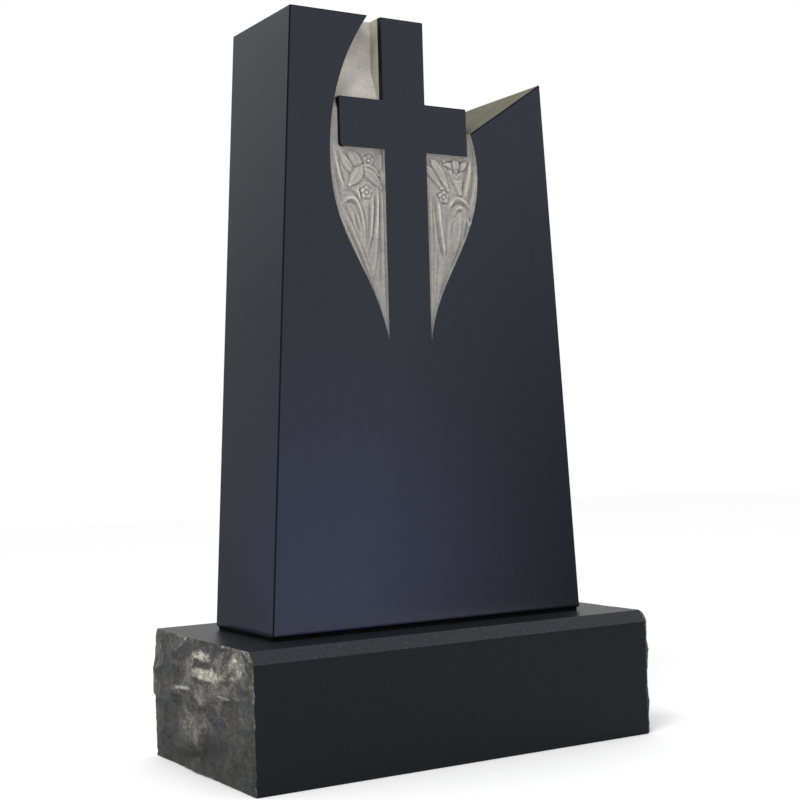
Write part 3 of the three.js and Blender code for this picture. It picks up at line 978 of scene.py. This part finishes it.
studio = {
    "floorSize": 14.0,
    "floorDrop": 0.0005,  # just under the base
    "worldStrength": 1.0,
    "keyPlace": (-1.9, -1.5, 3.4),
    "keyTarget": (0, 0, 0.6),
    "keySize": 1.2,
    "keyPower": 60,
    "cameraPlace": (-1.2662, -2.0835, 0.5001),
    "cameraTurn": (0.548363, 0.025970, -0.027698),  # yaw, pitch and roll
    "focalPixels": 1480.89,  # for an image 800 wide
    "imageWidth": 800,
    "sensorWidth": 36,
}


def addFloor():
    startClean()
    bpy.ops.mesh.primitive_plane_add(size=studio["floorSize"], location=(0, 0, -studio["floorDrop"]))
    floor = bpy.context.object
    floor.name = "studio floor"
    paint, shader = newMaterial("matt white floor")
    values = {"Base Color": hexColour("#fbfbfb"), "Roughness": 0.9, "Specular IOR Level": 0.1}
    setSockets(paint, shader, values)
    giveFinishes(floor, paint)


def addLight():
    world = bpy.data.worlds.new("studio")
    bpy.context.scene.world = world
    world.use_nodes = True
    sky = world.node_tree.nodes["Background"]
    setSockets(world, sky, {"Color": hexColour("#ffffff"), "Strength": studio["worldStrength"]})
    startClean()
    bpy.ops.object.light_add(type="AREA", location=studio["keyPlace"])
    lamp = bpy.context.object
    lamp.name = "key softbox"
    lamp.data.size = studio["keySize"]
    lamp.data.energy = studio["keyPower"]
    lamp.visible_camera = False
    aim = Vector(studio["keyTarget"]) - Vector(studio["keyPlace"])
    lamp.rotation_euler = aim.to_track_quat("-Z", "Y").to_euler()


# a grey card that only the polish mirrors, darkest at the middle of its foot and white at its rim
def addCard(name, place, turn, size, *tones):
    startClean()
    spot = (place[0], place[1], size / 2)
    bpy.ops.mesh.primitive_plane_add(size=size, location=spot, rotation=(math.pi / 2, 0, turn))
    card = bpy.context.object
    card.name = name
    card.visible_camera = card.visible_diffuse = card.visible_shadow = False
    paint, shader = newMaterial(name)
    inside = addNode(paint, "ShaderNodeTexCoord", "Object")
    spread = {"Vector": inside, "Location": (0, 0.5, 0), "Scale": (2 / size, 1 / size, 1)}
    field = {"Vector": addNode(paint, "ShaderNodeMapping", "Vector", spread)}
    field = addNode(paint, "ShaderNodeTexGradient", "Fac", field, gradient_type="SPHERICAL")
    glow = addNode(paint, "ShaderNodeValToRGB", "Color", {"Fac": field}, ((0.0, "#ffffff"), *tones))
    values = {"Emission Color": glow, "Emission Strength": 1}
    setSockets(paint, shader, {**values, "Base Color": hexColour("#000000"), "Specular IOR Level": 0})
    giveFinishes(card, paint)


def makeCamera():
    yaw, pitch, roll = studio["cameraTurn"]
    ahead = Vector((math.sin(yaw) * math.cos(pitch), math.cos(yaw) * math.cos(pitch), math.sin(pitch)))
    right = Vector((math.cos(yaw), -math.sin(yaw), 0))
    above = right.cross(ahead)
    across = math.cos(roll) * right + math.sin(roll) * above
    upward = -math.sin(roll) * right + math.cos(roll) * above
    startClean()
    bpy.ops.object.camera_add()
    camera = bpy.context.object
    turn = Matrix((across, upward, -ahead)).transposed().to_4x4()
    camera.matrix_world = Matrix.Translation(Vector(studio["cameraPlace"])) @ turn
    camera.data.sensor_width = studio["sensorWidth"]
    camera.data.lens = studio["focalPixels"] * studio["sensorWidth"] / studio["imageWidth"]
    camera.data.dof.use_dof = False
    bpy.context.scene.camera = camera


addFloor()
addLight()
addCard("left card", (-1.35, 2.3), 0.45, 2.4, (0.17, "#d6d6d6"), (0.54, "#aaaaaa"), (0.9, "#969696"))
addCard("right card", (1.45, -1.35), 0.75, 1.5, (0.5, "#c8c8c8"), (0.9, "#8c8c8c"))
makeCamera()
bpy.context.scene.view_settings.view_transform = "Standard"
print("studio made")
